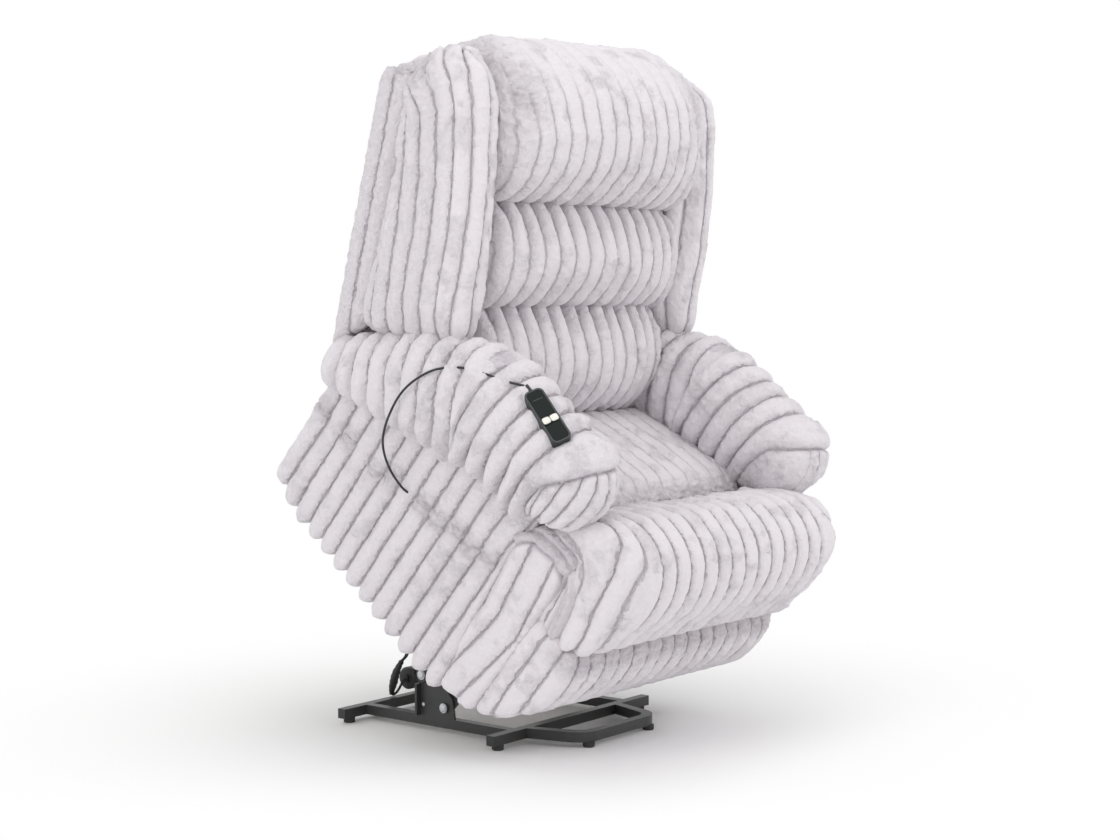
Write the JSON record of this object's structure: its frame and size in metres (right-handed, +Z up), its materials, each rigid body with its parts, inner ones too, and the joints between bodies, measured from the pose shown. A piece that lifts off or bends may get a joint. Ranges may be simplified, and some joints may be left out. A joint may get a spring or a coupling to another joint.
{
  "type": "lift recliner chair",
  "caption": "Upholstered lift recliner with a tilting lift base, electric actuator, reclining channelled back, fold-out footrest and corded handset, shown raised.",
  "frame": {"origin": "on the floor, under the middle of the raised chair's outline", "axes": "+Z up, the chair faces -Y, the sitter's right hand (with the handset) is at -X"},
  "size_m": [0.9513, 0.9648, 1.5237],
  "materials": {
    "black_plastic": "satin black plastic",
    "cream_button": "soft-touch cream plastic",
    "gloss_black": "polished black plastic",
    "lead_jacket": "black vinyl jacket",
    "plush": "channelled faux-fur plush, pale lilac grey",
    "powder_coat": "black powder-coated steel, fine texture",
    "rubber": "moulded black rubber",
    "timber": "raw plywood and pine",
    "zinc": "zinc-plated steel"
  },
  "bodies": {
    "base": {"front_cross_rail": "powder_coat", "rear_cross_rail": "powder_coat", "left_side_rail": "powder_coat", "right_side_rail": "powder_coat", "front_loop": "powder_coat", "rubber_feet": "rubber", "rail_end_caps": "black_plastic", "left_base_bracket": "powder_coat", "right_base_bracket": "powder_coat", "base_pivot_pins": "zinc", "actuator_rear_clevis": "powder_coat", "cable_harness": "lead_jacket"},
    "front_lift_links": {"left_front_lift_link": "powder_coat", "right_front_lift_link": "powder_coat"},
    "rear_lift_links": {"left_rear_lift_link": "powder_coat", "right_rear_lift_link": "powder_coat"},
    "chassis": {"left_chassis_plate": "powder_coat", "right_chassis_plate": "powder_coat", "chassis_cross_tubes": "powder_coat", "chassis_pins": "zinc", "actuator_front_clevis": "powder_coat", "seat_rails": "timber", "rear_rail": "timber", "seat_springs": "zinc", "seat_cushion": "plush", "left_side_board": "timber", "right_side_board": "timber", "left_side_cover": "plush", "right_side_cover": "plush", "left_arm": "plush", "right_arm": "plush", "rear_dust_panel": "plush", "control_box": "black_plastic", "handset_body": "black_plastic", "handset_faceplate": "gloss_black", "handset_strain_relief": "black_plastic", "handset_lead": "lead_jacket", "lead_grommet": "black_plastic"},
    "actuator": {"actuator_gearbox": "black_plastic", "actuator_motor": "black_plastic", "actuator_tube": "powder_coat"},
    "actuator_rod": {"actuator_rod": "zinc"},
    "back": {"back_frame": "timber", "back_hinge_plates": "powder_coat", "rear_cover": "plush", "head_pillow": "plush", "middle_pillow": "plush", "lower_pillow": "plush", "left_wing": "plush", "right_wing": "plush"},
    "footrest_lower_links": {"footrest_lower_links": "powder_coat"},
    "footrest_upper_links": {"footrest_upper_links": "powder_coat"},
    "footrest": {"footrest_brackets": "powder_coat", "footrest_board": "timber", "footrest_roll": "plush", "footrest_apron": "plush", "left_footrest_side": "plush", "right_footrest_side": "plush"},
    "raise_button": {"raise_button": "cream_button"},
    "lower_button": {"lower_button": "cream_button"}
  },
  "joints": [
    {"name": "lift", "type": "hinge", "parent": "base", "child": "front_lift_links", "pos_m": [0, 0.15325, 0.058], "axis": [1, 0, 0], "range_deg": [0, 37], "deforming": ["cable_harness"]},
    {"name": "rear_link_swing", "type": "hinge", "parent": "base", "child": "rear_lift_links", "pos_m": [0, 0.21725, 0.125], "axis": [1, 0, 0], "range_deg": [0, 37.38]},
    {"name": "chassis_tilt", "type": "hinge", "parent": "front_lift_links", "child": "chassis", "pos_m": [0, -0.02307, 0.24845], "axis": [1, 0, 0], "range_deg": [-77, 0]},
    {"name": "actuator_swing", "type": "hinge", "parent": "base", "child": "actuator", "pos_m": [0, 0.40525, 0.062], "axis": [1, 0, 0], "range_deg": [0, 20.99]},
    {"name": "actuator_extend", "type": "slide", "parent": "actuator", "child": "actuator_rod", "axis": [0, -0.7457, 0.6663], "range_m": [-0.12349, 0]},
    {"name": "recline", "type": "hinge", "parent": "chassis", "child": "back", "pos_m": [0, 0.11761, 0.69286], "axis": [-1, 0, 0], "range_deg": [0, 25]},
    {"name": "footrest_extend", "type": "hinge", "parent": "footrest_lower_links", "child": "footrest_upper_links", "pos_m": [0, -0.07699, 0.19017], "axis": [1, 0, 0], "range_deg": [0, 109.25]},
    {"name": "footrest_lower_swing", "type": "hinge", "parent": "chassis", "child": "footrest_lower_links", "pos_m": [0, -0.08381, 0.43507], "axis": [1, 0, 0], "range_deg": [-38.57, 0]},
    {"name": "footrest_panel_turn", "type": "hinge", "parent": "footrest_upper_links", "child": "footrest", "pos_m": [0, -0.22314, 0.36776], "axis": [1, 0, 0], "range_deg": [-150.67, 0]},
    {"name": "raise_button_press", "type": "slide", "parent": "chassis", "child": "raise_button", "axis": [0.6293, 0.4925, -0.6012], "range_m": [0, 0.0015], "stiffness_N_per_m": 400, "springref_m": -0.0005},
    {"name": "lower_button_press", "type": "slide", "parent": "chassis", "child": "lower_button", "axis": [0.6293, 0.4925, -0.6012], "range_m": [0, 0.0015], "stiffness_N_per_m": 400, "springref_m": -0.0005}
  ],
  "couplings": [
    {"joint": "rear_link_swing", "follows": "lift", "ratio": 1.0105},
    {"joint": "chassis_tilt", "follows": "lift", "ratio": -2.0812},
    {"joint": "actuator_swing", "follows": "lift", "ratio": 0.56738},
    {"joint": "actuator_extend", "follows": "lift", "m_per_rad": -0.19123},
    {"joint": "footrest_lower_swing", "follows": "footrest_extend", "ratio": -0.35309},
    {"joint": "footrest_panel_turn", "follows": "footrest_extend", "ratio": -1.3792}
  ]
}
